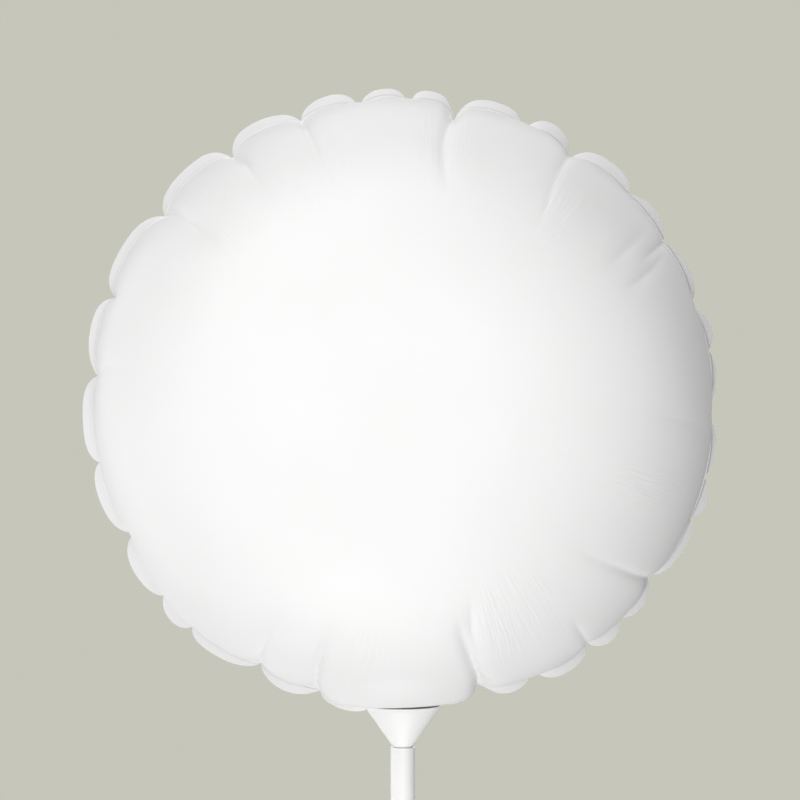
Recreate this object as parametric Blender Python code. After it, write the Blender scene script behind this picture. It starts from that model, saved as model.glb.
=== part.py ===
"""Round white foil balloon on a stick: two film discs welded round a scalloped rim, a funnel cup and a tube.

Metres, +Z up. The origin is the centre of the stick's lower end. The balloon's front faces -Y, and +X is
on the right of that front.
"""

import math

import bmesh
import bpy
from mathutils import Vector

# Stick: a thin-walled tube, open at both ends
STICK_LENGTH = 0.300
STICK_RADIUS = 0.0030
STICK_BORE_RADIUS = 0.0025

# Cup: a funnel whose spigot plugs into the stick's upper end
CLEARANCE = 0.0003
CUP_HEIGHT = 0.0102
CUP_RIM_RADIUS = 0.0098
CUP_WALL = 0.0006
CUP_LIP_HEIGHT = 0.0007
CUP_BORE_RADIUS = 0.0016
SPIGOT_RADIUS = STICK_BORE_RADIUS - CLEARANCE
SPIGOT_LENGTH = 0.012
SPIGOT_LEAD_IN = 0.0005

# Balloon: both films share one welded rim, a little wider than it is tall
SEAM_HALF_WIDTH = 0.0763
SEAM_HALF_HEIGHT = 0.0746
PINCHED_FLANGE = 0.0005
FILM = 0.0003
OUTER_FACE = FILM + CLEARANCE / 2

# The balloon's seam sits just inside the cup's mouth. Round the mouth its films are pressed flat on the
# rim, and they ease into their own curve by the outer radius here.
SEAT_DEPTH = 0.0003
SEAT_RADII = (CUP_RIM_RADIUS + 0.0012, 0.026)
CUP_RIM_Z = STICK_LENGTH + CUP_HEIGHT
CENTRE = Vector((0.0, 0.0, CUP_RIM_Z - SEAT_DEPTH + SEAM_HALF_HEIGHT))

# Filling tail: both films welded flat, from under the flange down through the cup into its bore.
# Columns: depth below the cup's rim, half width
TAIL_ROWS = ((0.0012, 0.0052), (0.0036, 0.0048), (0.0064, 0.0026), (0.0090, 0.0011), (0.0180, 0.0011))

# Puckers round the rim, counted from +X towards +Z as the front shows them.
# Columns: angle in degrees, depth of the pinch, reach of its crease over the film, then for the lobe that
# follows it: how far its seam swells out, its flange's width, and how many degrees that leans to the back
PUCKERS = (
    (9.4, 0.0003, 0.009, -0.00010, 0.0031, 24),
    (18.0, 0.0015, 0.012, -0.00040, 0.0031, 22),
    (31.6, 0.0019, 0.020, -0.00030, 0.0034, 14),
    (42.1, 0.0001, 0.009, -0.00035, 0.0036, 12),
    (55.7, 0.0024, 0.020, -0.00045, 0.0033, 18),
    (66.7, 0.0003, 0.008, -0.00035, 0.0030, 22),
    (79.7, 0.0032, 0.024, -0.00040, 0.0027, 24),
    (89.6, 0.0004, 0.008, 0.00000, 0.0025, 24),
    (98.5, 0.0007, 0.010, -0.00030, 0.0029, 18),
    (110.4, 0.0021, 0.020, -0.00020, 0.0029, 16),
    (124.8, 0.0034, 0.022, -0.00020, 0.0028, 14),
    (142.0, 0.0019, 0.022, 0.00025, 0.0023, 16),
    (160.2, 0.0013, 0.014, 0.00010, 0.0024, 16),
    (175.0, 0.0017, 0.014, 0.00000, 0.0021, 16),
    (190.4, 0.0003, 0.008, -0.00010, 0.0020, 18),
    (205.2, 0.0028, 0.014, 0.00000, 0.0021, 18),
    (218.7, 0.0002, 0.008, 0.00020, 0.0024, 14),
    (226.7, 0.0001, 0.008, 0.00000, 0.0024, 18),
    (241.2, 0.0017, 0.022, -0.00050, 0.0027, 22),
    (253.3, 0.0012, 0.018, 0.00020, 0.0025, 24),
    (262.6, 0.0008, 0.009, 0.00000, 0.0005, 0),
    (277.2, 0.0008, 0.009, -0.00030, 0.0024, 24),
    (284.6, 0.0030, 0.024, 0.00000, 0.0026, 24),
    (295.7, 0.0002, 0.009, 0.00060, 0.0031, 18),
    (306.8, 0.0015, 0.014, 0.00045, 0.0033, 18),
    (314.9, 0.0007, 0.009, 0.00040, 0.0026, 24),
    (324.0, 0.0024, 0.020, 0.00030, 0.0031, 22),
    (338.2, 0.0002, 0.009, 0.00025, 0.0030, 24),
    (347.3, 0.0001, 0.008, 0.00020, 0.0028, 24),
    (358.4, 0.0014, 0.012, 0.00000, 0.0026, 24),
)

# Columns of the film over each lobe, from its pucker (-1) over its middle (0) towards the next pucker (1)
RIM_SHARES = (-1.0, -0.85, -0.45, 0.45, 0.85)
CROWN_SHARES = (-1.0, 0.0)
LOBE_POWER = 2.4

# Rings of the film, as the angle of its surface's normal to the rim's plane: 0 at the seam, 90 at the crown
RIM_RINGS = (0.0, 5.0, 12.0, 20.0)
CROWN_RINGS = (30.0, 42.0, 55.0, 68.0, 79.0)
PROFILE_STEPS = 400

ROUND_SIDES = 36

WHITE_FILM = ("white_film", (0.90, 0.90, 0.89), 0.38)
CUP_PLASTIC = ("cup_plastic", (0.88, 0.88, 0.87), 0.35)
STICK_PLASTIC = ("stick_plastic", (0.89, 0.89, 0.88), 0.32)


def clear_scene():
    """Remove every object of the starting scene."""
    for obj in list(bpy.data.objects):
        bpy.data.objects.remove(obj, do_unlink=True)


def plastic(name, colour, roughness):
    """A plain Principled material."""
    material = bpy.data.materials.new(name)
    material.use_nodes = True
    shader = material.node_tree.nodes["Principled BSDF"]
    shader.inputs["Base Color"].default_value = (*colour, 1.0)
    shader.inputs["Roughness"].default_value = roughness
    shader.inputs["Metallic"].default_value = 0.0
    return material


def add_object(name, mesh_builder, material):
    """Link a new object made from a bmesh, shaded smooth where its faces meet gently."""
    mesh = bpy.data.meshes.new(name)
    mesh_builder.to_mesh(mesh)
    mesh_builder.free()
    mesh.materials.append(material)
    mesh.shade_smooth()
    mesh.set_sharp_from_angle(angle=math.radians(40))
    obj = bpy.data.objects.new(name, mesh)
    bpy.context.scene.collection.objects.link(obj)
    return obj


def thicken(obj, thickness, offset):
    """Give a sheet its thickness: inwards at offset -1, half to each side at offset 0."""
    wall = obj.modifiers.new("film_thickness", "SOLIDIFY")
    wall.thickness = thickness
    wall.offset = offset
    wall.use_even_offset = True


def turned(name, profile, material):
    """A ring solid: a closed outline of (radius, height) points spun round the Z axis."""
    bm = bmesh.new()
    points = [bm.verts.new((radius, 0.0, height)) for radius, height in profile]
    edges = [bm.edges.new((points[i - 1], points[i])) for i in range(len(points))]
    bmesh.ops.spin(
        bm,
        geom=points + edges,
        axis=(0, 0, 1),
        cent=(0, 0, 0),
        angle=math.tau,
        steps=ROUND_SIDES,
        use_merge=True,
        use_duplicate=False,
    )
    bmesh.ops.remove_doubles(bm, verts=bm.verts, dist=1e-6)
    bmesh.ops.recalc_face_normals(bm, faces=bm.faces)
    return add_object(name, bm, material)


def make_stick(material):
    """The tube, from its cut lower end up to the cup."""
    return turned(
        "stick",
        (
            (STICK_RADIUS, 0.0),
            (STICK_RADIUS, STICK_LENGTH),
            (STICK_BORE_RADIUS, STICK_LENGTH),
            (STICK_BORE_RADIUS, 0.0),
        ),
        material,
    )


def make_cup(material):
    """The funnel with its hollow spigot. Its cone just clears the stick's inner edge."""
    spigot_foot = STICK_LENGTH - SPIGOT_LENGTH
    cone_foot = STICK_LENGTH + CLEARANCE
    lip_foot = CUP_RIM_Z - CUP_LIP_HEIGHT
    throat = cone_foot + CUP_WALL
    return turned(
        "cup",
        (
            (SPIGOT_RADIUS - 0.4 * SPIGOT_LEAD_IN, spigot_foot),
            (SPIGOT_RADIUS, spigot_foot + SPIGOT_LEAD_IN),
            (SPIGOT_RADIUS, cone_foot),
            (CUP_RIM_RADIUS, lip_foot),
            (CUP_RIM_RADIUS, CUP_RIM_Z),
            (CUP_RIM_RADIUS - CUP_WALL, CUP_RIM_Z),
            (CUP_RIM_RADIUS - CUP_WALL, lip_foot),
            (CUP_BORE_RADIUS, throat),
            (CUP_BORE_RADIUS, spigot_foot),
        ),
        material,
    )


def blown_profile(normal_angle):
    """(radius, height) of a blown film disc of seam radius 1, where its normal makes this angle with the rim.

    A flat disc that can pucker but not stretch blows up to radius = sqrt(cos a), with height the integral
    of sqrt(cos a) / 2.
    """
    angle = math.radians(normal_angle)
    step = angle / PROFILE_STEPS
    middles = (step * (i + 0.5) for i in range(PROFILE_STEPS))
    height = step / 2 * sum(math.sqrt(math.cos(a)) for a in middles)
    return math.sqrt(max(0.0, math.cos(angle))), height


def film_run(normal_angle):
    """Distance over the film from the seam to that ring, for the same disc."""
    step = math.radians(normal_angle) / PROFILE_STEPS
    middles = (step * (i + 0.5) for i in range(PROFILE_STEPS))
    return step / 2 * sum(1 / math.sqrt(math.cos(a)) for a in middles)


MEAN_RADIUS = (SEAM_HALF_WIDTH + SEAM_HALF_HEIGHT) / 2
CROWN_HEIGHT = MEAN_RADIUS * blown_profile(90.0)[1]


def lobe_columns(shares):
    """One (lobe number, angle, share) for each column of a ring of the film."""
    columns = []
    for lobe, row in enumerate(PUCKERS):
        start = row[0]
        end = PUCKERS[(lobe + 1) % len(PUCKERS)][0]
        end += 360.0 if end < start else 0.0
        for share in shares:
            columns.append((lobe, start + (end - start) * (1 + share) / 2, share))
    return columns


def lobe_rise(share):
    """Rounded arch over a lobe: 0 at its puckers, 1 in its middle."""
    return math.sqrt(1 - abs(share) ** LOBE_POWER)


def seam_radius(angle):
    """Radius of the oval that the middles of the lobes lie on."""
    turn = math.radians(angle)
    across = SEAM_HALF_HEIGHT * math.cos(turn)
    upward = SEAM_HALF_WIDTH * math.sin(turn)
    return SEAM_HALF_WIDTH * SEAM_HALF_HEIGHT / math.hypot(across, upward)


def drawn_in(lobe, share, run):
    """How far the film is drawn in here: by the pucker on this side of the lobe, less the lobe's swell."""
    near = PUCKERS[lobe if share <= 0 else (lobe + 1) % len(PUCKERS)]
    pinch, reach = near[1], near[2]
    swell = PUCKERS[lobe][3]
    fade = max(0.0, 1 - run / reach) ** 2
    swell_fade = max(0.0, 1 - run / SEAM_HALF_HEIGHT) ** 2
    return pinch * (1 - lobe_rise(share)) * fade - swell * lobe_rise(share) * swell_fade


def seated(point):
    """The point, pressed down on the cup's rim where it lies near the cup."""
    if point.z > CENTRE.z:
        return point
    inner, outer = SEAT_RADII
    share = min(1.0, max(0.0, (math.hypot(point.x, point.y) - inner) / (outer - inner)))
    pressed = 1 - share * share * (3 - 2 * share)
    above = max(0.0, point.z - CUP_RIM_Z - CLEARANCE)
    return Vector((point.x, point.y, point.z - above * pressed))


def film_point(angle, radius, depth):
    """A point of the balloon: radius in the rim's plane, and depth to the back of that plane."""
    turn = math.radians(angle)
    return seated(CENTRE + Vector((math.cos(turn) * radius, depth, math.sin(turn) * radius)))


def flange_edge(lobe, angle, share, side):
    """Where the outer face of one film ends at the flange's edge."""
    widest, lean = PUCKERS[lobe][4:6]
    lean = math.radians(lean) * lobe_rise(share)
    width = PINCHED_FLANGE + (widest - PINCHED_FLANGE) * lobe_rise(share)
    radius = seam_radius(angle) - drawn_in(lobe, share, 0.0)
    radius += width * math.cos(lean) - side * OUTER_FACE * math.sin(lean)
    return film_point(angle, radius, width * math.sin(lean) + side * OUTER_FACE * math.cos(lean))


def dome_point(lobe, angle, share, normal_angle, side):
    """A point on the outer face of one film's dome."""
    unit_radius, unit_height = blown_profile(normal_angle)
    pull = drawn_in(lobe, share, film_run(normal_angle) * MEAN_RADIUS)
    radius = seam_radius(angle) * unit_radius - pull * math.cos(math.radians(normal_angle))
    height = OUTER_FACE + MEAN_RADIUS * unit_height - pull * math.sin(math.radians(normal_angle))
    return film_point(angle, radius, side * height)


def stitch(bm, outer, outer_angles, inner, inner_angles):
    """Fill between two rings. Rings of unlike counts are joined by triangles, always to the nearer column."""
    count = len(outer)
    if count == len(inner):
        for i in range(count):
            j = (i + 1) % count
            bm.faces.new((outer[i], outer[j], inner[j], inner[i]))
        return
    outer_angles = outer_angles + [outer_angles[0] + 360.0]
    inner_angles = inner_angles + [inner_angles[0] + 360.0]
    i = j = 0
    while i < count or j < len(inner):
        foot, top = outer[i % count], inner[j % len(inner)]
        if j == len(inner) or (i < count and outer_angles[i + 1] <= inner_angles[j + 1]):
            i += 1
            bm.faces.new((foot, outer[i % count], top))
        else:
            j += 1
            bm.faces.new((foot, inner[j % len(inner)], top))


def make_film(name, side, material):
    """One film: its dome and its half of the welded flange. Side is -1 at the front, 1 at the back."""
    bm = bmesh.new()
    rim = lobe_columns(RIM_SHARES)
    crown = lobe_columns(CROWN_SHARES)
    edge_ring = [bm.verts.new(flange_edge(*column, side)) for column in rim]
    rings = [(edge_ring, rim)]
    rings += [([bm.verts.new(dome_point(*c, normal, side)) for c in rim], rim) for normal in RIM_RINGS]
    rings += [([bm.verts.new(dome_point(*c, normal, side)) for c in crown], crown) for normal in CROWN_RINGS]
    for (outer, outer_columns), (inner, inner_columns) in zip(rings, rings[1:]):
        stitch(bm, outer, [c[1] for c in outer_columns], inner, [c[1] for c in inner_columns])
    top = bm.verts.new(film_point(0.0, 0.0, side * (OUTER_FACE + CROWN_HEIGHT)))
    last = rings[-1][0]
    for i in range(len(last)):
        bm.faces.new((last[i], last[(i + 1) % len(last)], top))

    if side > 0:
        bmesh.ops.reverse_faces(bm, faces=bm.faces)
    film = add_object(name, bm, material)
    thicken(film, FILM, -1.0)
    return film


def make_tail(material):
    """The flat filling tail, in the plane of the rim."""
    bm = bmesh.new()
    left = [bm.verts.new((-half_width, 0.0, CUP_RIM_Z - depth)) for depth, half_width in TAIL_ROWS]
    right = [bm.verts.new((half_width, 0.0, CUP_RIM_Z - depth)) for depth, half_width in TAIL_ROWS]
    for i in range(1, len(TAIL_ROWS)):
        bm.faces.new((left[i], right[i], right[i - 1], left[i - 1]))
    tail = add_object("filling_tail", bm, material)
    thicken(tail, 2 * FILM, 0.0)
    return tail


def main():
    """Build the five pieces."""
    clear_scene()
    film_white = plastic(*WHITE_FILM)
    make_stick(plastic(*STICK_PLASTIC))
    make_cup(plastic(*CUP_PLASTIC))
    make_film("front_film", -1, film_white)
    make_film("back_film", 1, film_white)
    make_tail(film_white)


main()
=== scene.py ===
"""Looks of a small round foil balloon on a stick: its puckered envelope, funnel cup, hollow stick and studio.

The row frame is used throughout: metres, +Z up, the origin at the stick's foot, the balloon's front towards
-Y. Tables and fields that end in _mm hold millimetres, and _degrees hold degrees.
"""

import logging
import math
from dataclasses import dataclass
from enum import Enum

import bmesh
import bpy
import numpy as np
from mathutils import Matrix, Vector


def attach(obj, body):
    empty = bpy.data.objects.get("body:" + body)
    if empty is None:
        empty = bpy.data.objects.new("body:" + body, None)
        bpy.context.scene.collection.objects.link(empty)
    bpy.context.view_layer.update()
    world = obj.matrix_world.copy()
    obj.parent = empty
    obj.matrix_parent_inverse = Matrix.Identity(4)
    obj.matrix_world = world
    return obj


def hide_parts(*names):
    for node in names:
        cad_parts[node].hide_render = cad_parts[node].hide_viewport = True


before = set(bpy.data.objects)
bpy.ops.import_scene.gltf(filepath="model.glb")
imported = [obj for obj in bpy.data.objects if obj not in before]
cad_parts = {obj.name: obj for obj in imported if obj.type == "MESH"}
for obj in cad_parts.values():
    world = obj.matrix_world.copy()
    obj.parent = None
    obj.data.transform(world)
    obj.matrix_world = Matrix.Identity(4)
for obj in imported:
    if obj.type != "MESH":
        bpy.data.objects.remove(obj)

log = logging.getLogger("foil_balloon")

MM = 0.001
MERGE_DISTANCE = 0.001 * MM
SEAM_TOLERANCE_MM = 1e-4


class Face(Enum):
    """The two faces of the balloon, as the sign of Y on which each lies."""

    FRONT = -1
    BACK = 1


class Body(Enum):
    """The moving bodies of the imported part."""

    STICK = "stick"
    HEAD = "head"


def linear(hex_colour: str) -> tuple[float, float, float, float]:
    """Turn an sRGB hex colour into the linear colour that a shader takes.

    Args:
        hex_colour: six hex digits, such as "F4F4F2".

    Returns:
        Linear red, green, blue and an alpha of 1.
    """
    channels = [int(hex_colour[i : i + 2], 16) / 255 for i in (0, 2, 4)]
    toned = [c / 12.92 if c <= 0.04045 else ((c + 0.055) / 1.055) ** 2.4 for c in channels]
    return (toned[0], toned[1], toned[2], 1.0)


def add_node(
    tree: bpy.types.NodeTree,
    kind: str,
    settings: dict[str | int, object] | None = None,
    links: dict[str | int, bpy.types.Node | bpy.types.NodeSocket] | None = None,
) -> bpy.types.Node:
    """Add a node to a tree with its settings and the links into it.

    Args:
        tree: the node tree.
        kind: the node's Blender type name, without "ShaderNode" before it.
        settings: values by socket name, socket number or property name.
        links: what feeds each input, by the input's name or number: a socket, or a node for its first one.

    Returns:
        The new node.
    """
    node = tree.nodes.new("ShaderNode" + kind)
    for name, value in (settings or {}).items():
        if isinstance(name, int) or name in node.inputs:
            node.inputs[name].default_value = value
        else:
            setattr(node, name, value)
    for name, source in (links or {}).items():
        socket = source.outputs[0] if isinstance(source, bpy.types.Node) else source
        tree.links.new(socket, node.inputs[name])
    return node


def new_material(name: str) -> tuple[bpy.types.Material, bpy.types.NodeTree]:
    """Make a material with an empty node tree.

    Args:
        name: the material's name.

    Returns:
        The material and its tree.
    """
    material = bpy.data.materials.new(name)
    material.use_nodes = True
    material.node_tree.nodes.clear()
    return material, material.node_tree


def end_in_shader(
    tree: bpy.types.NodeTree,
    settings: dict[str | int, object],
    links: dict[str | int, bpy.types.Node | bpy.types.NodeSocket],
) -> None:
    """Give a tree its Principled shader and its output.

    Args:
        tree: the node tree.
        settings: the shader's own values.
        links: what feeds the shader.
    """
    shader = add_node(tree, "BsdfPrincipled", settings, links)
    add_node(tree, "OutputMaterial", links={"Surface": shader})


def smoothstep(low: float, high: float, value: np.ndarray) -> np.ndarray:
    """Ease from 0 at low to 1 at high.

    Args:
        low: where the result leaves 0.
        high: where the result reaches 1.
        value: the numbers to ease.

    Returns:
        The eased numbers.
    """
    share = np.clip((value - low) / (high - low), 0.0, 1.0)
    return share * share * (3.0 - 2.0 * share)


def apart_degrees(turn: np.ndarray, angle: float | np.ndarray) -> np.ndarray:
    """Give how far each angle lies from another, from -180 to 180 degrees."""
    return (turn - angle + 180.0) % 360.0 - 180.0


def finished_piece(
    name: str, builder: bmesh.types.BMesh, material: bpy.types.Material, sharp_degrees: float
) -> bpy.types.Object:
    """Turn a bmesh into a piece at the origin, smooth but for its sharp edges.

    Args:
        name: the piece's name.
        builder: the bmesh, freed here.
        material: the finish of the piece.
        sharp_degrees: edges that turn more than this stay sharp.

    Returns:
        The new object, linked to the scene.
    """
    mesh = bpy.data.meshes.new(name)
    builder.to_mesh(mesh)
    builder.free()
    mesh.materials.append(material)
    mesh.shade_smooth()
    mesh.set_sharp_from_angle(angle=math.radians(sharp_degrees))
    piece = bpy.data.objects.new(name, mesh)
    bpy.context.scene.collection.objects.link(piece)
    return piece


@dataclass(frozen=True)
class Corner:
    """A corner of a turned outline, in millimetres, with how widely it is rounded."""

    radius_mm: float
    height_mm: float
    round_mm: float = 0.0


def turned_piece(
    name: str,
    outline: tuple[Corner, ...],
    sides: int,
    material: bpy.types.Material,
    corner_segments: int = 5,
    sharp_degrees: float = 35.0,
) -> bpy.types.Object:
    """Round the corners of a closed outline and spin it about the Z axis.

    Args:
        name: the piece's name.
        outline: the corners of the section in order.
        sides: how many sides the round piece gets.
        material: the finish of the piece.
        corner_segments: how many segments round each corner.
        sharp_degrees: edges that turn more than this stay sharp.

    Returns:
        The new object.
    """
    builder = bmesh.new()
    corners = [builder.verts.new((c.radius_mm * MM, 0.0, c.height_mm * MM)) for c in outline]
    builder.faces.new(corners)
    for corner, vertex in zip(outline, corners):
        if corner.round_mm > 0.0:
            bmesh.ops.bevel(
                builder,
                geom=[vertex],
                offset=corner.round_mm * MM,
                offset_type="OFFSET",
                segments=corner_segments,
                profile=0.5,
                affect="VERTICES",
                material=-1,
                clamp_overlap=False,
            )
    bmesh.ops.delete(builder, geom=builder.faces[:], context="FACES_ONLY")
    bmesh.ops.spin(
        builder,
        geom=builder.verts[:] + builder.edges[:],
        cent=(0.0, 0.0, 0.0),
        axis=(0.0, 0.0, 1.0),
        angle=math.tau,
        steps=sides,
        use_merge=True,
        use_duplicate=False,
    )
    bmesh.ops.remove_doubles(builder, verts=builder.verts, dist=MERGE_DISTANCE)
    bmesh.ops.recalc_face_normals(builder, faces=builder.faces)
    return finished_piece(name, builder, material, sharp_degrees)


@dataclass(frozen=True)
class CoatedFilm:
    """White-coated polyamide balloon film: opaque and satin, its tension lines showing only as soft relief.

    The weld makes the flange a touch greyer, and a fine grey line beside the seam is its pressed edge with
    painted shade from the crevice between dome and flange.
    """

    tone: str = "F5F5F5"
    tone_in_hollows: str = "EFEFEE"
    cloud_mm: float = 28.0
    roughness: float = 0.46
    roughness_spread: float = 0.05
    ior: float = 1.50
    gather_spacing_mm: float = 1.3
    gather_stretch: float = 9.0
    gather_depth_mm: float = 0.5
    tone_in_weld: str = "ECECEC"
    weld_edge_mm: tuple[float, float] = (-0.1, 0.3)
    # The fine grey line: the weld's pressed edge with painted shade from the crevice between dome and flange
    tone_in_shaded_line: str = "ACACAE"
    line_mm: float = 0.2
    bead_inside_mm: float = 1.3
    bead_outside_mm: float = 0.5
    bead_height_mm: float = 0.22
    grain_mm: float = 0.9
    grain_depth_mm: float = 0.004

    def material(self, centre: Vector, rim_radius: float) -> bpy.types.Material:
        """Build the film's finish.

        Args:
            centre: the middle of the balloon.
            rim_radius: the mean radius of its seam, in metres.

        Returns:
            The film material.
        """
        material, tree = new_material("white_coated_film")
        place = add_node(tree, "TexCoord").outputs["Object"]
        from_weld = add_node(tree, "Attribute", {"attribute_name": "weld_mm"}).outputs["Fac"]
        gathers = self.gather_relief(tree, place, centre, rim_radius)
        bead = self.bead_relief(tree, from_weld, gathers)
        grain = add_node(
            tree,
            "TexNoise",
            {"Scale": 1.0 / (self.grain_mm * MM), "Detail": 2.0, "Roughness": 0.5},
            {"Vector": place},
        )
        surface = add_node(
            tree,
            "Bump",
            {"Strength": 1.0, "Distance": self.grain_depth_mm * MM},
            {"Height": grain, "Normal": bead},
        )
        low, high = self.roughness - self.roughness_spread, self.roughness + self.roughness_spread
        gloss = add_node(tree, "MapRange", {"To Min": low, "To Max": high}, {"Value": grain})
        tone = self.lined_tone(tree, place, from_weld)
        end_in_shader(
            tree, {"IOR": self.ior}, {"Base Color": tone, "Roughness": gloss, "Normal": surface}
        )
        return material

    def gather_relief(
        self, tree: bpy.types.NodeTree, place: bpy.types.NodeSocket, centre: Vector, rim_radius: float
    ) -> bpy.types.Node:
        """Raise the fine gathers, which run outwards like spokes.

        The direction from the middle, times the count of gathers, is what the noise reads, so each ridge
        keeps its place along the whole run.

        Args:
            tree: the node tree.
            place: the object coordinates.
            centre: the middle of the balloon.
            rim_radius: the mean radius of its seam, in metres.

        Returns:
            The node that gives the normal.
        """
        spacing = self.gather_spacing_mm * MM
        centred = add_node(
            tree, "Mapping", {"vector_type": "POINT", "Location": tuple(-centre)}, {"Vector": place}
        )
        in_plane = add_node(
            tree, "VectorMath", {"operation": "MULTIPLY", 1: (1.0, 0.0, 1.0)}, {0: centred}
        )
        outwards = add_node(tree, "VectorMath", {"operation": "NORMALIZE"}, {0: in_plane})
        spokes = add_node(
            tree, "VectorMath", {"operation": "SCALE", "Scale": rim_radius / spacing}, {0: outwards}
        )
        stretch = 1.0 / (spacing * self.gather_stretch)
        drift = add_node(tree, "VectorMath", {"operation": "SCALE", "Scale": stretch}, {0: centred})
        along = add_node(tree, "VectorMath", {"operation": "ADD"}, {0: spokes, 1: drift})
        gathers = add_node(
            tree, "TexNoise", {"Scale": 1.0, "Detail": 2.0, "Roughness": 0.55}, {"Vector": along}
        )
        amount = add_node(tree, "Attribute", {"attribute_name": "gather"}).outputs["Fac"]
        ridges = add_node(tree, "Math", {"operation": "MULTIPLY"}, {0: gathers, 1: amount})
        return add_node(
            tree, "Bump", {"Strength": 1.0, "Distance": self.gather_depth_mm * MM}, {"Height": ridges}
        )

    def bead_relief(
        self, tree: bpy.types.NodeTree, from_weld: bpy.types.NodeSocket, under: bpy.types.Node
    ) -> bpy.types.Node:
        """Raise the weld's bead: slowly from the dome and dropping off short behind, so it catches light.

        Args:
            tree: the node tree.
            from_weld: the distance from the weld's pressed edge in mm, positive on the flange.
            under: the node whose normal the bead stands on.

        Returns:
            The node that gives the normal.
        """
        swelling = add_node(
            tree,
            "MapRange",
            {"interpolation_type": "SMOOTHSTEP", "From Min": -self.bead_inside_mm, "From Max": 0.0},
            {"Value": from_weld},
        )
        dropping = self.fading(tree, from_weld, self.bead_outside_mm)
        shape = add_node(tree, "Math", {"operation": "MULTIPLY"}, {0: swelling, 1: dropping})
        amount = add_node(tree, "Attribute", {"attribute_name": "weld_bead"}).outputs["Fac"]
        rise = add_node(tree, "Math", {"operation": "MULTIPLY"}, {0: shape, 1: amount})
        return add_node(
            tree,
            "Bump",
            {"Strength": 1.0, "Distance": self.bead_height_mm * MM},
            {"Height": rise, "Normal": under},
        )

    def fading(
        self,
        tree: bpy.types.NodeTree,
        distance: bpy.types.Node | bpy.types.NodeSocket,
        reach_mm: float,
    ) -> bpy.types.Node:
        """Fade from 1 at no distance to 0 at a reach.

        Args:
            tree: the node tree.
            distance: the distance in mm.
            reach_mm: where nothing is left.

        Returns:
            The node that gives the share.
        """
        return add_node(
            tree,
            "MapRange",
            {"interpolation_type": "SMOOTHSTEP", "From Max": reach_mm, "To Min": 1.0, "To Max": 0.0},
            {"Value": distance},
        )

    def lined_tone(
        self, tree: bpy.types.NodeTree, place: bpy.types.NodeSocket, from_weld: bpy.types.NodeSocket
    ) -> bpy.types.NodeSocket:
        """Mix the film's tone: softly clouded, a touch greyer on the weld, with the fine line of painted
        shade and the weld's pressed edge.

        Args:
            tree: the node tree.
            place: the object coordinates.
            from_weld: the distance from the weld's pressed edge and its painted shade line in mm, positive on
                the flange.

        Returns:
            The colour socket.
        """
        clouds = add_node(
            tree,
            "TexNoise",
            {"Scale": 1.0 / (self.cloud_mm * MM), "Detail": 3.0, "Roughness": 0.5},
            {"Vector": place},
        )
        tone = add_node(
            tree,
            "Mix",
            {"data_type": "RGBA", 6: linear(self.tone_in_hollows), 7: linear(self.tone)},
            {0: clouds},
        )
        weld_from, weld_to = self.weld_edge_mm
        welded = add_node(
            tree,
            "MapRange",
            {"interpolation_type": "SMOOTHSTEP", "From Min": weld_from, "From Max": weld_to},
            {"Value": from_weld},
        )
        weld_tone = add_node(
            tree,
            "Mix",
            {"data_type": "RGBA", 7: linear(self.tone_in_weld)},
            {0: welded, 6: tone.outputs[2]},
        )
        # Painted shade: a fine grey line beside the seam, as strong as each lobe's line says, with the weld's
        # pressed edge
        aside = add_node(tree, "Math", {"operation": "ABSOLUTE"}, {0: from_weld})
        amount = add_node(tree, "Attribute", {"attribute_name": "weld_line_and_shade"}).outputs["Fac"]
        line = add_node(
            tree,
            "Math",
            {"operation": "MULTIPLY"},
            {0: self.fading(tree, aside, self.line_mm), 1: amount},
        )
        lined = add_node(
            tree,
            "Mix",
            {"data_type": "RGBA", 7: linear(self.tone_in_shaded_line)},
            {0: line, 6: weld_tone.outputs[2]},
        )
        return lined.outputs[2]


@dataclass(frozen=True)
class WhitePolypropylene:
    """White polypropylene: clean white and satin, its tone and gloss varying very softly."""

    tone: str = "FCFCFB"
    shade: str = "F8F8F6"
    roughness: float = 0.36
    roughness_spread: float = 0.06
    ior: float = 1.49

    def surface(
        self, tree: bpy.types.NodeTree, pattern: bpy.types.Node, relief: bpy.types.Node, depth_mm: float
    ) -> None:
        """End a tree in the plastic's tone, gloss and relief.

        Args:
            tree: the node tree.
            pattern: the noise that tone and gloss follow.
            relief: the noise that stands up from the surface.
            depth_mm: how far it stands up.
        """
        tone = add_node(
            tree, "Mix", {"data_type": "RGBA", 6: linear(self.shade), 7: linear(self.tone)}, {0: pattern}
        )
        low, high = self.roughness - self.roughness_spread, self.roughness + self.roughness_spread
        gloss = add_node(tree, "MapRange", {"To Min": low, "To Max": high}, {"Value": pattern})
        bump = add_node(tree, "Bump", {"Strength": 1.0, "Distance": depth_mm * MM}, {"Height": relief})
        end_in_shader(
            tree, {"IOR": self.ior}, {"Base Color": tone.outputs[2], "Roughness": gloss, "Normal": bump}
        )


@dataclass(frozen=True)
class MouldedPolypropylene(WhitePolypropylene):
    """Injection-moulded: a fine even grain, with tone and gloss following how the melt flowed."""

    grain_mm: float = 0.35
    grain_depth_mm: float = 0.003
    flow_mm: float = 6.0

    def material(self) -> bpy.types.Material:
        """Build the cup's finish.

        Returns:
            The material.
        """
        material, tree = new_material("moulded_polypropylene")
        place = add_node(tree, "TexCoord").outputs["Object"]
        grain = add_node(
            tree,
            "TexNoise",
            {"Scale": 1.0 / (self.grain_mm * MM), "Detail": 2.0, "Roughness": 0.55},
            {"Vector": place},
        )
        flow = add_node(
            tree,
            "TexNoise",
            {"Scale": 1.0 / (self.flow_mm * MM), "Detail": 2.0, "Distortion": 0.6},
            {"Vector": place},
        )
        self.surface(tree, flow, grain, self.grain_depth_mm)
        return material


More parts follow.
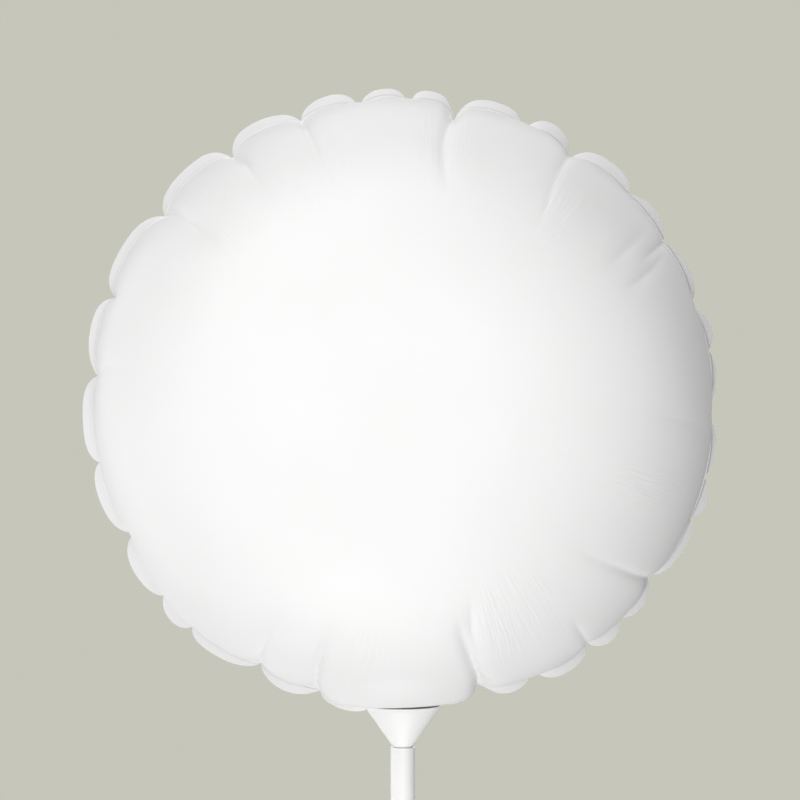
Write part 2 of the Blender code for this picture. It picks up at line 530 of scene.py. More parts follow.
@dataclass(frozen=True)
class ExtrudedTube(WhitePolypropylene):
    """Extruded: the faint lengthwise lines that the die leaves."""

    roughness: float = 0.34
    roughness_spread: float = 0.05
    line_mm: float = 0.45
    line_depth_mm: float = 0.004
    line_run_mm: float = 60.0

    def material(self) -> bpy.types.Material:
        """Build the stick's finish.

        Returns:
            The material.
        """
        material, tree = new_material("extruded_polypropylene")
        place = add_node(tree, "TexCoord").outputs["Object"]
        across = 1.0 / (self.line_mm * MM)
        stretched = add_node(
            tree,
            "Mapping",
            {"vector_type": "POINT", "Scale": (across, across, 1.0 / (self.line_run_mm * MM))},
            {"Vector": place},
        )
        lines = add_node(
            tree, "TexNoise", {"Scale": 1.0, "Detail": 2.0, "Roughness": 0.5}, {"Vector": stretched}
        )
        self.surface(tree, lines, lines, self.line_depth_mm)
        return material


@dataclass(frozen=True)
class PaintedBoard:
    """Matt painted studio board: pale, with a very soft mottle from the roller."""

    tone: str = "CBCAC5"
    shade: str = "C6C5C0"
    roughness: float = 0.85
    mottle_mm: float = 45.0
    stipple_mm: float = 2.0
    stipple_depth_mm: float = 0.03

    def material(self) -> bpy.types.Material:
        """Build the floor's finish.

        Returns:
            The material.
        """
        material, tree = new_material("matt_painted_board")
        place = add_node(tree, "TexCoord").outputs["Object"]
        mottle = add_node(
            tree, "TexNoise", {"Scale": 1.0 / (self.mottle_mm * MM), "Detail": 3.0}, {"Vector": place}
        )
        stipple = add_node(
            tree, "TexNoise", {"Scale": 1.0 / (self.stipple_mm * MM), "Detail": 2.0}, {"Vector": place}
        )
        tone = add_node(
            tree, "Mix", {"data_type": "RGBA", 6: linear(self.shade), 7: linear(self.tone)}, {0: mottle}
        )
        surface = add_node(
            tree,
            "Bump",
            {"Strength": 1.0, "Distance": self.stipple_depth_mm * MM},
            {"Height": stipple},
        )
        end_in_shader(
            tree, {"Roughness": self.roughness}, {"Base Color": tone.outputs[2], "Normal": surface}
        )
        return material


@dataclass(frozen=True)
class Lobe:
    """A pucker of the rim and the lobe that follows it, counted from +X towards +Z as the front shows them.

    The pucker draws the seam in by pinch_mm. Its fold is as wide as fold_mm says and is gone reach_mm further
    over the film. The lobe's seam stands swell_mm outside the oval. Its welded flange is flange_mm wide and
    leans to the back. Its top lies towards the start of the lobe where skew is positive, and the larger its
    squareness, the flatter it is. The fine grey line there, the weld's pressed edge with painted shade from
    the crevice between dome and flange, and the fine bead that the edge stands up as, each run from 0 to 1.
    """

    angle: float
    pinch_mm: float
    fold_mm: float
    reach_mm: float
    swell_mm: float
    flange_mm: float
    lean: float
    skew: float
    squareness: float
    # How strongly the fine grey line of painted shade and the weld's pressed edge shows
    line: float
    bead: float


@dataclass(frozen=True)
class Crease:
    """A tension crease: points of (angle, run over the film in mm, depth in mm), and its half width."""

    points: tuple[tuple[float, float, float], ...]
    half_width_mm: float
    face: Face = Face.FRONT


@dataclass(frozen=True)
class GatherField:
    """A patch of fine radial gathers: its middle and half size in degrees and in run over the film."""

    angle: float
    half_angle: float
    run_mm: float
    half_run_mm: float
    amount: float
    face: Face = Face.FRONT


# The line column sets how much painted shade the fine grey line by the seam gets on each lobe
LOBES = (
    Lobe(9.4, 0.1, 4.0, 9, -0.19, 4.3, 38, -0.1, 2.1, 0.8, 0.6),
    Lobe(18.1, 2.7, 2.6, 12, -0.3, 3.7, 36, 0.4, 1.8, 0.6, 0.8),
    Lobe(31.3, 0.8, 4.3, 20, -0.14, 4.5, 40, -0.2, 1.4, 0.5, 0.8),
    Lobe(42.4, 0.6, 3.8, 9, -0.17, 5.5, 43, 0.0, 2.9, 0.3, 0.9),
    Lobe(55.6, 3.5, 4.1, 20, 0.03, 5.6, 46, 0.1, 2.4, 0.1, 1.0),
    Lobe(66.0, 2.9, 2.2, 8, -0.35, 4.6, 47, 0.2, 2.8, 0.1, 1.0),
    Lobe(79.6, 3.7, 2.6, 24, -0.42, 4.4, 49, 0.0, 2.8, 0.5, 1.0),
    Lobe(88.7, 2.7, 1.4, 8, 0.2, 3.6, 50, 0.1, 2.8, 0.5, 0.8),
    Lobe(98.3, 2.6, 2.1, 10, -0.09, 4.6, 49, 0.3, 2.1, 0.5, 0.5),
    Lobe(110.0, 1.7, 4.1, 20, 0.04, 3.8, 47, 0.0, 2.2, 0.1, 0.3),
    Lobe(124.9, 2.6, 2.2, 22, -0.03, 3.8, 45, 0.3, 2.9, 0.4, 0.2),
    Lobe(142.1, 2.1, 3.6, 22, 0.41, 2.9, 41, 0.0, 2.7, 0.2, 0.2),
    Lobe(160.1, 2.4, 1.9, 14, 0.26, 2.9, 44, 0.6, 2.4, 0.5, 0.3),
    Lobe(175.2, 1.9, 3.9, 14, -0.41, 3.8, 46, 0.0, 4.0, 0.1, 0.4),
    Lobe(191.2, 0.7, 2.6, 8, -0.46, 3.7, 45, -0.3, 3.4, 0.0, 0.4),
    Lobe(205.9, 3.1, 4.1, 14, -0.17, 4.1, 47, 0.1, 2.5, 0.0, 0.3),
    Lobe(219.0, 1.1, 3.7, 8, 0.54, 4.0, 49, -0.4, 2.2, 0.0, 0.3),
    Lobe(226.9, 0.9, 2.5, 8, -0.28, 4.2, 48, 0.5, 2.4, 0.2, 0.5),
    Lobe(241.5, 1.8, 4.9, 22, -0.3, 4.4, 46, -0.5, 2.3, 0.8, 0.9),
    Lobe(253.7, 3.1, 3.6, 18, 0.1, 3.9, 38, 0.0, 2.5, 0.8, 0.6),
    Lobe(264.2, 0.8, 4.0, 9, 0.0, 0.5, 0, 0.0, 2.1, 0.3, 0.0),
    Lobe(277.7, 0.3, 3.8, 9, -0.96, 3.8, 44, 0.0, 2.3, 0.2, 0.6),
    Lobe(285.5, 5.2, 3.1, 26, -0.22, 5.2, 49, 0.5, 2.9, 0.2, 1.0),
    Lobe(295.8, 2.6, 2.9, 9, 0.72, 5.5, 49, -0.1, 3.3, 0.2, 0.8),
    Lobe(307.3, 1.8, 3.9, 14, 0.73, 5.8, 47, 0.0, 2.2, 0.3, 0.6),
    Lobe(314.9, 1.2, 3.2, 9, 0.52, 4.8, 46, 0.3, 1.4, 0.2, 0.5),
    Lobe(324.7, 2.4, 4.4, 20, 0.39, 4.2, 43, 0.0, 2.7, 0.3, 0.6),
    Lobe(338.0, 0.4, 4.0, 9, 0.4, 4.8, 41, 0.6, 1.5, 0.9, 0.6),
    Lobe(346.0, 0.0, 4.0, 8, 0.31, 3.1, 40, 0.0, 1.7, 0.9, 0.6),
    Lobe(358.3, 3.5, 3.1, 12, 0.1, 2.7, 38, -0.1, 2.4, 0.9, 0.6),
)

CREASES = (
    Crease(((31.3, 0, 0.1), (31.4, 2, 0.15), (31.7, 17, 0.4), (31.7, 24, 0.4), (31.6, 31, 0.0)), 1.0),
    Crease(((30.2, 16, 0.0), (29.4, 23, 0.25), (28.4, 34, 0.45), (28.0, 42, 0.0)), 1.0),
    Crease(((36.0, 20, 0.0), (35.7, 26, 0.25), (35.3, 35, 0.4), (35.2, 42, 0.0)), 0.9),
    Crease(((55.6, 0, 0.4), (56.8, 17, 0.7), (57.4, 31, 0.3), (56.1, 40, 0.25), (55.6, 46, 0.0)), 1.1),
    Crease(((79.6, 0, 1.2), (81.3, 19, 1.8), (83.0, 33, 0.9), (82.6, 39, 0.55), (81.2, 47, 0.0)), 1.2),
    Crease(((110.0, 0, 0.5), (110.4, 15, 1.0), (110.7, 29, 0.7), (110.8, 36, 0.0)), 1.1),
    Crease(((124.9, 0, 1.0), (124.3, 16, 2.0), (124.4, 28, 0.8), (124.5, 38, 0.0)), 1.5),
    Crease(((142.1, 0, 0.5), (140.8, 15, 0.8), (140.6, 28, 1.2), (140.5, 38, 0.0)), 1.6),
    Crease(((174.5, 8, 0.0), (172.9, 19, 0.4), (172.7, 30, 0.0)), 1.2),
    Crease(((241.5, 0, 0.4), (239.7, 16, 1.5), (238.6, 30, 0.65), (238.8, 40, 0.0)), 1.2),
    Crease(((253.7, 0, 0.5), (251.9, 15, 1.2), (250.8, 26, 1.6), (249.7, 38, 0.4), (249.2, 45, 0.0)), 1.1),
    Crease(((285.5, 0, 1.2), (284.4, 20, 2.0), (283.1, 33, 1.5), (282.3, 38, 1.0), (281.6, 46, 0.0)), 1.2),
    Crease(((283.9, 27, 0.0), (284.2, 33, 0.4), (284.7, 43, 0.45), (286.4, 51, 0.0)), 1.0),
    Crease(((307.3, 0, 0.4), (307.0, 15, 0.55), (306.8, 25, 0.4), (306.8, 30, 0.0)), 1.1),
    Crease(((324.7, 0, 0.5), (323.5, 19, 0.9), (321.8, 31, 0.7), (319.5, 42, 0.3), (318.8, 48, 0.0)), 1.1),
    Crease(((355.2, 16, 0.0), (355.6, 22, 0.2), (356.9, 35, 0.2), (357.2, 42, 0.0)), 1.0),
    # The back, which the front's puckers pull in the same way
    Crease(((31.3, 0, 0.5), (32.4, 18, 0.8), (33.1, 33, 0.0)), 1.0, Face.BACK),
    Crease(((55.6, 0, 0.6), (54.6, 20, 1.0), (54.9, 41, 0.0)), 1.2, Face.BACK),
    Crease(((79.6, 0, 0.6), (78.8, 21, 1.2), (79.5, 45, 0.0)), 1.3, Face.BACK),
    Crease(((110.0, 0, 0.4), (111.3, 16, 0.7), (110.6, 34, 0.0)), 1.2, Face.BACK),
    Crease(((124.9, 0, 0.5), (125.6, 19, 0.9), (125.1, 42, 0.0)), 1.4, Face.BACK),
    Crease(((142.1, 0, 0.4), (142.9, 17, 0.7), (143.4, 35, 0.0)), 1.4, Face.BACK),
    Crease(((175.2, 0, 0.4), (176.2, 15, 0.5), (176.0, 31, 0.0)), 1.1, Face.BACK),
    Crease(((205.9, 0, 0.5), (204.1, 18, 0.9), (204.6, 38, 0.0)), 1.1, Face.BACK),
    Crease(((241.5, 0, 0.3), (242.0, 20, 0.8), (241.3, 37, 0.0)), 1.2, Face.BACK),
    Crease(((285.5, 0, 0.6), (285.5, 19, 1.3), (284.9, 44, 0.0)), 1.3, Face.BACK),
    Crease(((307.3, 0, 0.4), (307.7, 14, 0.7), (307.5, 28, 0.0)), 1.1, Face.BACK),
    Crease(((324.7, 0, 0.5), (325.0, 21, 1.0), (324.4, 43, 0.0)), 1.2, Face.BACK),
)

GATHER_FIELDS = (
    GatherField(52, 7, 38, 14, 0.5),
    GatherField(83, 9, 32, 16, 0.35),
    GatherField(110, 12, 34, 18, 0.4),
    GatherField(135, 13, 34, 18, 0.45),
    GatherField(259, 8, 34, 14, 0.4),
    GatherField(287, 8, 38, 14, 0.35),
    GatherField(298, 12, 40, 18, 0.35),
    GatherField(341, 7, 39, 13, 0.5),
    GatherField(40, 14, 34, 14, 0.4, Face.BACK),
    GatherField(120, 16, 34, 14, 0.4, Face.BACK),
    GatherField(240, 14, 34, 14, 0.4, Face.BACK),
    GatherField(300, 16, 36, 14, 0.6, Face.BACK),
)


def lobe_values(field: str) -> np.ndarray:
    """List one field of all the lobes."""
    return np.array([getattr(lobe, field) for lobe in LOBES])


class BlownProfile:
    """Section of a flat disc blown up without stretch, per metre of its seam's radius.

    Such a film can pucker but not stretch, so where its normal makes the angle a with the rim's plane its
    radius is the root of cos a, and its run over the film grows by half of 1 / root of cos a.
    """

    def __init__(self, steps: int = 4000) -> None:
        """Tabulate run and height over the angle.

        Args:
            steps: number of steps from the seam to the crown.
        """
        step = math.pi / 2 / steps
        middles = (np.arange(steps) + 0.5) * step
        self.angles = np.arange(steps + 1) * step
        self.runs = np.concatenate([[0.0], np.cumsum(0.5 / np.sqrt(np.cos(middles))) * step])
        self.heights = np.concatenate([[0.0], np.cumsum(0.5 * np.sqrt(np.cos(middles))) * step])

    def at(self, run: np.ndarray) -> tuple[np.ndarray, np.ndarray, np.ndarray]:
        """Look up the section.

        Args:
            run: distance over the film from the seam.

        Returns:
            The normal's angle in radians, the radius and the height there.
        """
        angle = np.interp(run, self.runs, self.angles)
        return angle, np.sqrt(np.clip(np.cos(angle), 0.0, 1.0)), np.interp(run, self.runs, self.heights)


@dataclass
class Envelope:
    """The blown balloon: two flat film discs, welded round the rim, puckered and pressed on the cup."""

    half_width_mm: float = 76.3
    half_height_mm: float = 74.6
    centre_mm: tuple[float, float, float] = (0.0, 0.0, 384.5)
    film_mm: float = 0.12
    notch_flange_mm: float = 0.25
    swell_reach_mm: float = 60.0
    fold_taper_mm: float = 12.0
    fold_rounding_mm: float = 0.06
    fold_rounding_growth: float = 0.05
    crease_rounding: float = 0.3
    # Where the fine line of painted shade and the weld's pressed edge lies outside the seam, and how far that
    # sways round the rim
    shaded_line_offset_mm: float = 0.85
    shaded_line_sway_mm: float = 0.50
    columns: int = 680
    column_grid_degrees: float = 0.1
    crowd_degrees: float = 2.2
    crowd_at_pinch: float = 1.6
    crowd_elsewhere: float = 0.7
    pinch_to_crowd_mm: float = 0.5
    flange_rows: int = 9
    flange_row_power: float = 1.6
    finest_step_mm: float = 0.12
    front_step_mm: float = 1.15
    back_step_mm: float = 1.7
    step_growth: float = 1.16
    even_until_mm: float = 50.0
    crown_growth: float = 1.1
    crown_step_mm: float = 3.4
    seat_height_mm: float = 310.6
    seat_slope: float = 0.035
    seat_inner_mm: float = 11.0
    seat_outer_mm: float = 26.0
    sharp_degrees: float = 52.0

    def __post_init__(self) -> None:
        """Work out the section and the size of the flat cut."""
        self.section = BlownProfile()
        self.mean_mm = (self.half_width_mm + self.half_height_mm) / 2
        self.flat_radius_mm = self.mean_mm * float(self.section.runs[-1])
        self.widest_flange_mm = max(lobe.flange_mm for lobe in LOBES)
        self.starts = lobe_values("angle")
        self.spans = np.diff(np.append(self.starts, self.starts[0] + 360.0))
        self.middles = self.starts + self.spans / 2

    def ring_radii(self, face: Face) -> list[float]:
        """List the rings of one disc from its edge to its crown.

        Args:
            face: the front is cut finer than the back.

        Returns:
            The flat radius of each ring in mm.
        """
        # Closer near the seam, where the weld's bead needs them
        inward = [1.0 - (row + 1) / self.flange_rows for row in range(self.flange_rows)]
        shares = [place**self.flange_row_power for place in inward]
        widest = self.front_step_mm if face is Face.FRONT else self.back_step_mm
        runs, step = [], self.finest_step_mm
        run = step
        while run + step < self.flat_radius_mm:
            runs.append(run)
            if run > self.even_until_mm:
                step = min(self.crown_step_mm, step * self.crown_growth)
            else:
                step = min(widest, step * self.step_growth)
            run += step
        flange = [self.flat_radius_mm + self.widest_flange_mm * share for share in shares]
        return flange + [self.flat_radius_mm - run for run in runs]

    def flat_cut(self) -> bmesh.types.BMesh:
        """Lay out both flat discs of film with their flanges, welded at the flange's edge.

        Returns:
            The welded discs, in mm about the balloon's axis, which is Y.
        """
        builder = bmesh.new()
        rim_radius = self.flat_radius_mm + self.widest_flange_mm
        bmesh.ops.create_circle(
            builder,
            cap_ends=False,
            segments=self.columns,
            radius=rim_radius,
            matrix=Matrix.Translation((0.0, -self.film_mm, 0.0)) @ Matrix.Rotation(math.pi / 2, 4, "X"),
        )
        front_rim = builder.edges[:]
        back_rim = self.next_ring(builder, front_rim, 1.0, 2 * self.film_mm)
        for face, ring in ((Face.FRONT, front_rim), (Face.BACK, back_rim)):
            radius = rim_radius
            for wanted in self.ring_radii(face):
                ring = self.next_ring(builder, ring, wanted / radius, 0.0)
                radius = wanted
            crown = bmesh.ops.contextual_create(builder, geom=ring)["faces"]
            bmesh.ops.poke(builder, faces=crown)
        bmesh.ops.recalc_face_normals(builder, faces=builder.faces)
        return builder

    def next_ring(
        self, builder: bmesh.types.BMesh, ring: list[bmesh.types.BMEdge], scale: float, shift: float
    ) -> list[bmesh.types.BMEdge]:
        """Extrude a ring of edges to the next ring.

        Args:
            builder: the bmesh of the flat cut.
            ring: the edges of the last ring.
            scale: the new ring's radius as a share of the last one's.
            shift: how far the new ring moves along Y, in mm.

        Returns:
            The edges of the new ring.
        """
        made = bmesh.ops.extrude_edge_only(builder, edges=ring)["geom"]
        points = [item for item in made if isinstance(item, bmesh.types.BMVert)]
        bmesh.ops.scale(builder, vec=(scale, 1.0, scale), verts=points)
        bmesh.ops.translate(builder, vec=(0.0, shift, 0.0), verts=points)
        return [item for item in made if isinstance(item, bmesh.types.BMEdge)]

    def spread_columns(self, turn: np.ndarray) -> np.ndarray:
        """Crowd the columns of the mesh towards the puckers.

        Args:
            turn: evenly spaced angles in degrees, 0 to 360.

        Returns:
            The angles after crowding.
        """
        step = self.column_grid_degrees
        grid = np.arange(0.0, 360.0 + step / 10, step)
        density = np.ones_like(grid)
        for lobe in LOBES:
            apart = np.abs(apart_degrees(grid, lobe.angle))
            crowd = self.crowd_at_pinch if lobe.pinch_mm > self.pinch_to_crowd_mm else self.crowd_elsewhere
            density += crowd * np.exp(-((apart / self.crowd_degrees) ** 2))
        total = np.concatenate([[0.0], np.cumsum((density[1:] + density[:-1]) / 2)])
        return np.interp(turn / 360.0 * total[-1], total, grid)

    def between_lobes(self, turn: np.ndarray, field: str) -> np.ndarray:
        """Ease a field of the lobes from the middle of each lobe to the next.

        Args:
            turn: angles in degrees.
            field: the field's name.

        Returns:
            The value at each angle.
        """
        values = lobe_values(field)
        middles = np.concatenate([[self.middles[-1] - 360.0], self.middles, [self.middles[0] + 360.0]])
        wrapped = np.array([values[-1], *values, values[0]])
        place = np.where(turn < middles[0], turn + 360.0, np.where(turn > middles[-1], turn - 360.0, turn))
        index = np.clip(np.searchsorted(middles, place, side="right") - 1, 0, len(middles) - 2)
        share = (place - middles[index]) / (middles[index + 1] - middles[index])
        ease = (1.0 - np.cos(np.pi * share)) / 2
        return wrapped[index] * (1 - ease) + wrapped[index + 1] * ease

    def lobe_at(self, turn: np.ndarray) -> tuple[np.ndarray, np.ndarray]:
        """Find the lobe that each angle lies in.

        Args:
            turn: angles in degrees.

        Returns:
            The lobe's number, and the place across it from -1 to 1.
        """
        index = (np.searchsorted(self.starts, turn, side="right") - 1) % len(LOBES)
        into = (turn - self.starts[index]) % 360.0
        return index, np.clip(2.0 * into / self.spans[index] - 1.0, -1.0, 1.0)

    def oval_mm(self, turn: np.ndarray) -> np.ndarray:
        """Give the radius of the oval through the lobes' seams.

        Args:
            turn: angles in degrees.

        Returns:
            The radii in mm.
        """
        angle = np.radians(turn)
        across, up = self.half_height_mm * np.cos(angle), self.half_width_mm * np.sin(angle)
        return self.half_width_mm * self.half_height_mm / np.hypot(across, up)

    def path_offset_mm(
        self, turn: np.ndarray, run: np.ndarray, local_mm: np.ndarray, runs: list[float], angles: list[float]
    ) -> np.ndarray:
        """Measure how far each point lies to the side of a line that runs over the film.

        Args:
            turn: angles in degrees.
            run: distances from the seam in mm.
            local_mm: the radius at each point.
            runs: the line's points, as runs in mm.
            angles: the line's points, as angles in degrees.

        Returns:
            The distances to the side in mm, positive towards larger angles.
        """
        path = np.interp(run, runs, angles)
        return np.radians(apart_degrees(turn, path)) * local_mm

    def pucker_depth_mm(self, turn: np.ndarray, run: np.ndarray, local_mm: np.ndarray) -> np.ndarray:
        """Give how far the puckers fold the film in.

        Args:
            turn: angles in degrees.
            run: distances from the seam in mm.
            local_mm: the radius at each point.

        Returns:
            The depths in mm.
        """
        depth = np.zeros_like(run)
        for lobe in LOBES:
            aside = self.path_offset_mm(turn, run, local_mm, *self.fold_path(lobe))
            rounding = self.fold_rounding_mm + self.fold_rounding_growth * run
            width = lobe.fold_mm / (1.0 + run / self.fold_taper_mm)
            fold = np.exp((rounding - np.hypot(aside, rounding)) / width)
            fade = np.clip(1.0 - (run / lobe.reach_mm) ** 2, 0.0, 1.0) ** 2
            depth += lobe.pinch_mm * fold * fade
        return depth

    def fold_path(self, lobe: Lobe) -> tuple[list[float], list[float]]:
        """Find the line of a pucker's fold: that of its crease, or straight in.

        Args:
            lobe: the pucker.

        Returns:
            The runs in mm and the angles in degrees.
        """
        for crease in CREASES:
            if crease.face is Face.FRONT and crease.points[0][:2] == (lobe.angle, 0):
                return [p[1] for p in crease.points], [p[0] for p in crease.points]
        return [0.0, 1.0], [lobe.angle, lobe.angle]

    def crease_depth_mm(
        self, turn: np.ndarray, run: np.ndarray, local_mm: np.ndarray, face: Face
    ) -> np.ndarray:
        """Give the depth of the tension creases on one face.

        Args:
            turn: angles in degrees.
            run: distances from the seam in mm.
            local_mm: the radius at each point.
            face: the face.

        Returns:
            The depths in mm.
        """
        depth = np.zeros_like(run)
        for crease in CREASES:
            if crease.face is not face:
                continue
            runs = [p[1] for p in crease.points]
            aside = self.path_offset_mm(turn, run, local_mm, runs, [p[0] for p in crease.points])
            deepest = np.interp(run, runs, [p[2] for p in crease.points], left=0.0, right=0.0)
            rounding = self.crease_rounding
            valley = np.exp(rounding - np.sqrt((aside / crease.half_width_mm) ** 2 + rounding**2))
            depth += deepest * valley
        return depth

    def dome_mm(self, turn: np.ndarray, run: np.ndarray, face: Face) -> np.ndarray:
        """Place points of the blown film.

        Args:
            turn: angles in degrees.
            run: distances from the seam in mm.
            face: the face that the points are on.

        Returns:
            X, Y and Z of each point in mm.
        """
        angle, unit_radius, unit_height = self.section.at(run / self.mean_mm)
        swell = self.between_lobes(turn, "swell_mm")
        swell = swell * np.clip(1 - run / self.swell_reach_mm, 0, 1) ** 2
        local = (self.oval_mm(turn) + swell) * unit_radius
        inward = self.pucker_depth_mm(turn, run, local) + self.crease_depth_mm(turn, run, local, face)
        radius = local - inward * np.cos(angle)
        height = self.film_mm + self.mean_mm * unit_height - inward * np.sin(angle)
        return self.placed_mm(turn, radius, face.value * height)

    def flange_width_mm(self, turn: np.ndarray) -> np.ndarray:
        """Give the width of the welded flange.

        Args:
            turn: angles in degrees.

        Returns:
            The widths in mm.
        """
        index, place = self.lobe_at(turn)
        bent = place + lobe_values("skew")[index] * (1.0 - place**2) / 2
        arch = np.sqrt(1.0 - np.abs(bent) ** lobe_values("squareness")[index])
        widths = lobe_values("flange_mm")[index]
        return self.notch_flange_mm + (widths - self.notch_flange_mm) * arch

    def flange_mm(self, turn: np.ndarray, share: np.ndarray, face: Face) -> np.ndarray:
        """Place points of the welded flange.

        Args:
            turn: angles in degrees.
            share: the place across the flange, 0 at the seam and 1 at its edge.
            face: the face that the points are on.

        Returns:
            X, Y and Z of each point in mm.
        """
        seam = self.oval_mm(turn) + self.between_lobes(turn, "swell_mm")
        zero = np.zeros_like(turn)
        seam -= self.pucker_depth_mm(turn, zero, seam) + self.crease_depth_mm(turn, zero, seam, face)
        width = self.flange_width_mm(turn)
        lean = np.radians(self.between_lobes(turn, "lean"))
        radius = seam + width * share * np.cos(lean) - face.value * self.film_mm * np.sin(lean)
        depth = width * share * np.sin(lean) + face.value * self.film_mm * np.cos(lean)
        return self.placed_mm(turn, radius, depth)

    def placed_mm(self, turn: np.ndarray, radius: np.ndarray, depth: np.ndarray) -> np.ndarray:
        """Set points round the balloon's centre and press those near the cup on its lip.

        Args:
            turn: angles in degrees.
            radius: distances from the balloon's axis in mm.
            depth: distances behind the rim's plane in mm.

        Returns:
            X, Y and Z of each point in mm.
        """
        angle = np.radians(turn)
        x = self.centre_mm[0] + np.cos(angle) * radius
        y = self.centre_mm[1] + depth
        z = self.centre_mm[2] + np.sin(angle) * radius
        pressed = 1.0 - smoothstep(self.seat_inner_mm, self.seat_outer_mm, np.hypot(x, y))
        seat = self.seat_height_mm + self.seat_slope * x
        above = np.where(z < self.centre_mm[2], np.maximum(0.0, z - seat), 0.0)
        return np.stack([x, y, z - above * pressed], axis=-1)

    def gather_amounts(self, turn: np.ndarray, run: np.ndarray, front: np.ndarray) -> np.ndarray:
        """Say how strongly the fine gathers show at each point.

        Args:
            turn: angles in degrees.
            run: distances from the seam in mm.
            front: True where the point is on the front.

        Returns:
            Amounts from 0 to 1.
        """
        total = np.zeros_like(run)
        for field in GATHER_FIELDS:
            aside = apart_degrees(turn, field.angle) / field.half_angle
            along = (run - field.run_mm) / field.half_run_mm
            patch = field.amount * np.clip(1.0 - aside**2, 0.0, 1.0) * np.clip(1.0 - along**2, 0.0, 1.0)
            total += np.where(front == (field.face is Face.FRONT), patch, 0.0)
        return np.clip(total, 0.0, 1.0)

    def build(self, film: CoatedFilm) -> bpy.types.Object:
        """Cut both discs, weld them, blow them up and dress them.

        Args:
            film: the film's finish.

        Returns:
            The envelope.
        """
        builder = self.flat_cut()
        centre = Vector(self.centre_mm) * MM
        piece = finished_piece(
            "balloon_envelope", builder, film.material(centre, self.mean_mm * MM), sharp_degrees=180.0
        )
        self.blow_up(piece.data)
        piece.data.set_sharp_from_angle(angle=math.radians(self.sharp_degrees))
        return piece

    def blow_up(self, mesh: bpy.types.Mesh) -> None:
        """Move every vertex of the flat cut to its place on the blown balloon.

        Args:
            mesh: the welded flat discs, in mm about the balloon's axis.
        """
        flat = np.zeros(len(mesh.vertices) * 3)
        mesh.vertices.foreach_get("co", flat)
        flat = flat.reshape(-1, 3)
        turn = self.spread_columns(np.degrees(np.arctan2(flat[:, 2], flat[:, 0])) % 360.0)
        run = self.flat_radius_mm - np.hypot(flat[:, 0], flat[:, 2])
        share = np.clip(-run / self.widest_flange_mm, 0.0, 1.0)
        placed = np.zeros_like(flat)
        for face in Face:
            own = flat[:, 1] * face.value > 0
            dome = own & (run >= -SEAM_TOLERANCE_MM)
            flange = own & (run < -SEAM_TOLERANCE_MM)
            placed[dome] = self.dome_mm(turn[dome], np.clip(run[dome], 0.0, None), face)
            placed[flange] = self.flange_mm(turn[flange], share[flange], face)
        # Where the weld's pressed edge and the fine line of painted shade beside it run: outside the seam,
        # further out where the film bulges over it
        shaded_line_at = self.shaded_line_offset_mm + self.shaded_line_sway_mm * np.cos(np.radians(turn))
        marks = {
            "gather": self.gather_amounts(turn, run, flat[:, 1] < 0),
            "weld_mm": np.where(run < 0, share * self.flange_width_mm(turn), -run) - shaded_line_at,
            # How strongly each lobe shows the fine line of painted shade with the weld's pressed edge
            "weld_line_and_shade": self.between_lobes(turn, "line"),
            "weld_bead": self.between_lobes(turn, "bead"),
        }
        for name, values in marks.items():
            mark = mesh.attributes.new(name, "FLOAT", "POINT")
            mark.data.foreach_set("value", values.astype(np.float32))
        mesh.vertices.foreach_set("co", (placed * MM).ravel())
        mesh.update()


@dataclass
class FunnelCup:
    """The moulded funnel that the balloon sits in, with the hollow spigot that plugs into the stick."""

    rim_radius_mm: float = 9.8
    rim_height_mm: float = 309.9
    cone_radius_mm: float = 9.15
    wall_mm: float = 0.6
    lip_mm: float = 0.8
    foot_height_mm: float = 299.25
    spigot_radius_mm: float = 2.2
    spigot_foot_mm: float = 288.0
    bore_radius_mm: float = 1.6
    sides: int = 128

    def build(self, finish: MouldedPolypropylene) -> bpy.types.Object:
        """Turn the cup.

        Args:
            finish: the cup's finish.

        Returns:
            The cup.
        """
        lip_foot = self.rim_height_mm - self.lip_mm
        outline = (
            Corner(self.spigot_radius_mm, self.spigot_foot_mm, 0.25),
            Corner(self.spigot_radius_mm, self.foot_height_mm, 0.1),
            Corner(self.cone_radius_mm, lip_foot, 0.4),
            Corner(self.rim_radius_mm, self.rim_height_mm - 0.35, 0.2),
            Corner(self.rim_radius_mm, self.rim_height_mm, 0.12),
            Corner(self.rim_radius_mm - self.wall_mm, self.rim_height_mm, 0.2),
            Corner(self.cone_radius_mm - self.wall_mm, lip_foot, 0.3),
            Corner(self.bore_radius_mm, self.foot_height_mm + self.wall_mm, 0.3),
            Corner(self.bore_radius_mm, self.spigot_foot_mm, 0.2),
        )
        return turned_piece("funnel_cup", outline, self.sides, finish.material())


@dataclass
class HollowStick:
    """The extruded tube, cut square at both ends."""

    radius_mm: float = 3.0
    bore_radius_mm: float = 2.5
    length_mm: float = 299.5
    edge_mm: float = 0.08
    sides: int = 96

    def build(self, finish: ExtrudedTube) -> bpy.types.Object:
        """Turn the tube.

        Args:
            finish: the tube's finish.

        Returns:
            The stick.
        """
        outline = (
            Corner(self.radius_mm, 0.0, self.edge_mm),
            Corner(self.radius_mm, self.length_mm, self.edge_mm),
            Corner(self.bore_radius_mm, self.length_mm, self.edge_mm),
            Corner(self.bore_radius_mm, 0.0, self.edge_mm),
        )
        return turned_piece("hollow_stick", outline, self.sides, finish.material())


def direction(azimuth: float, elevation: float) -> Vector:
    """Give the direction from the object towards a place round it.

    Args:
        azimuth: degrees from the front, positive to the right of the front.
        elevation: degrees above the horizon.

    Returns:
        The unit vector.
    """
    turn, rise = math.radians(azimuth), math.radians(elevation)
    return Vector((math.sin(turn) * math.cos(rise), -math.cos(turn) * math.cos(rise), math.sin(rise)))


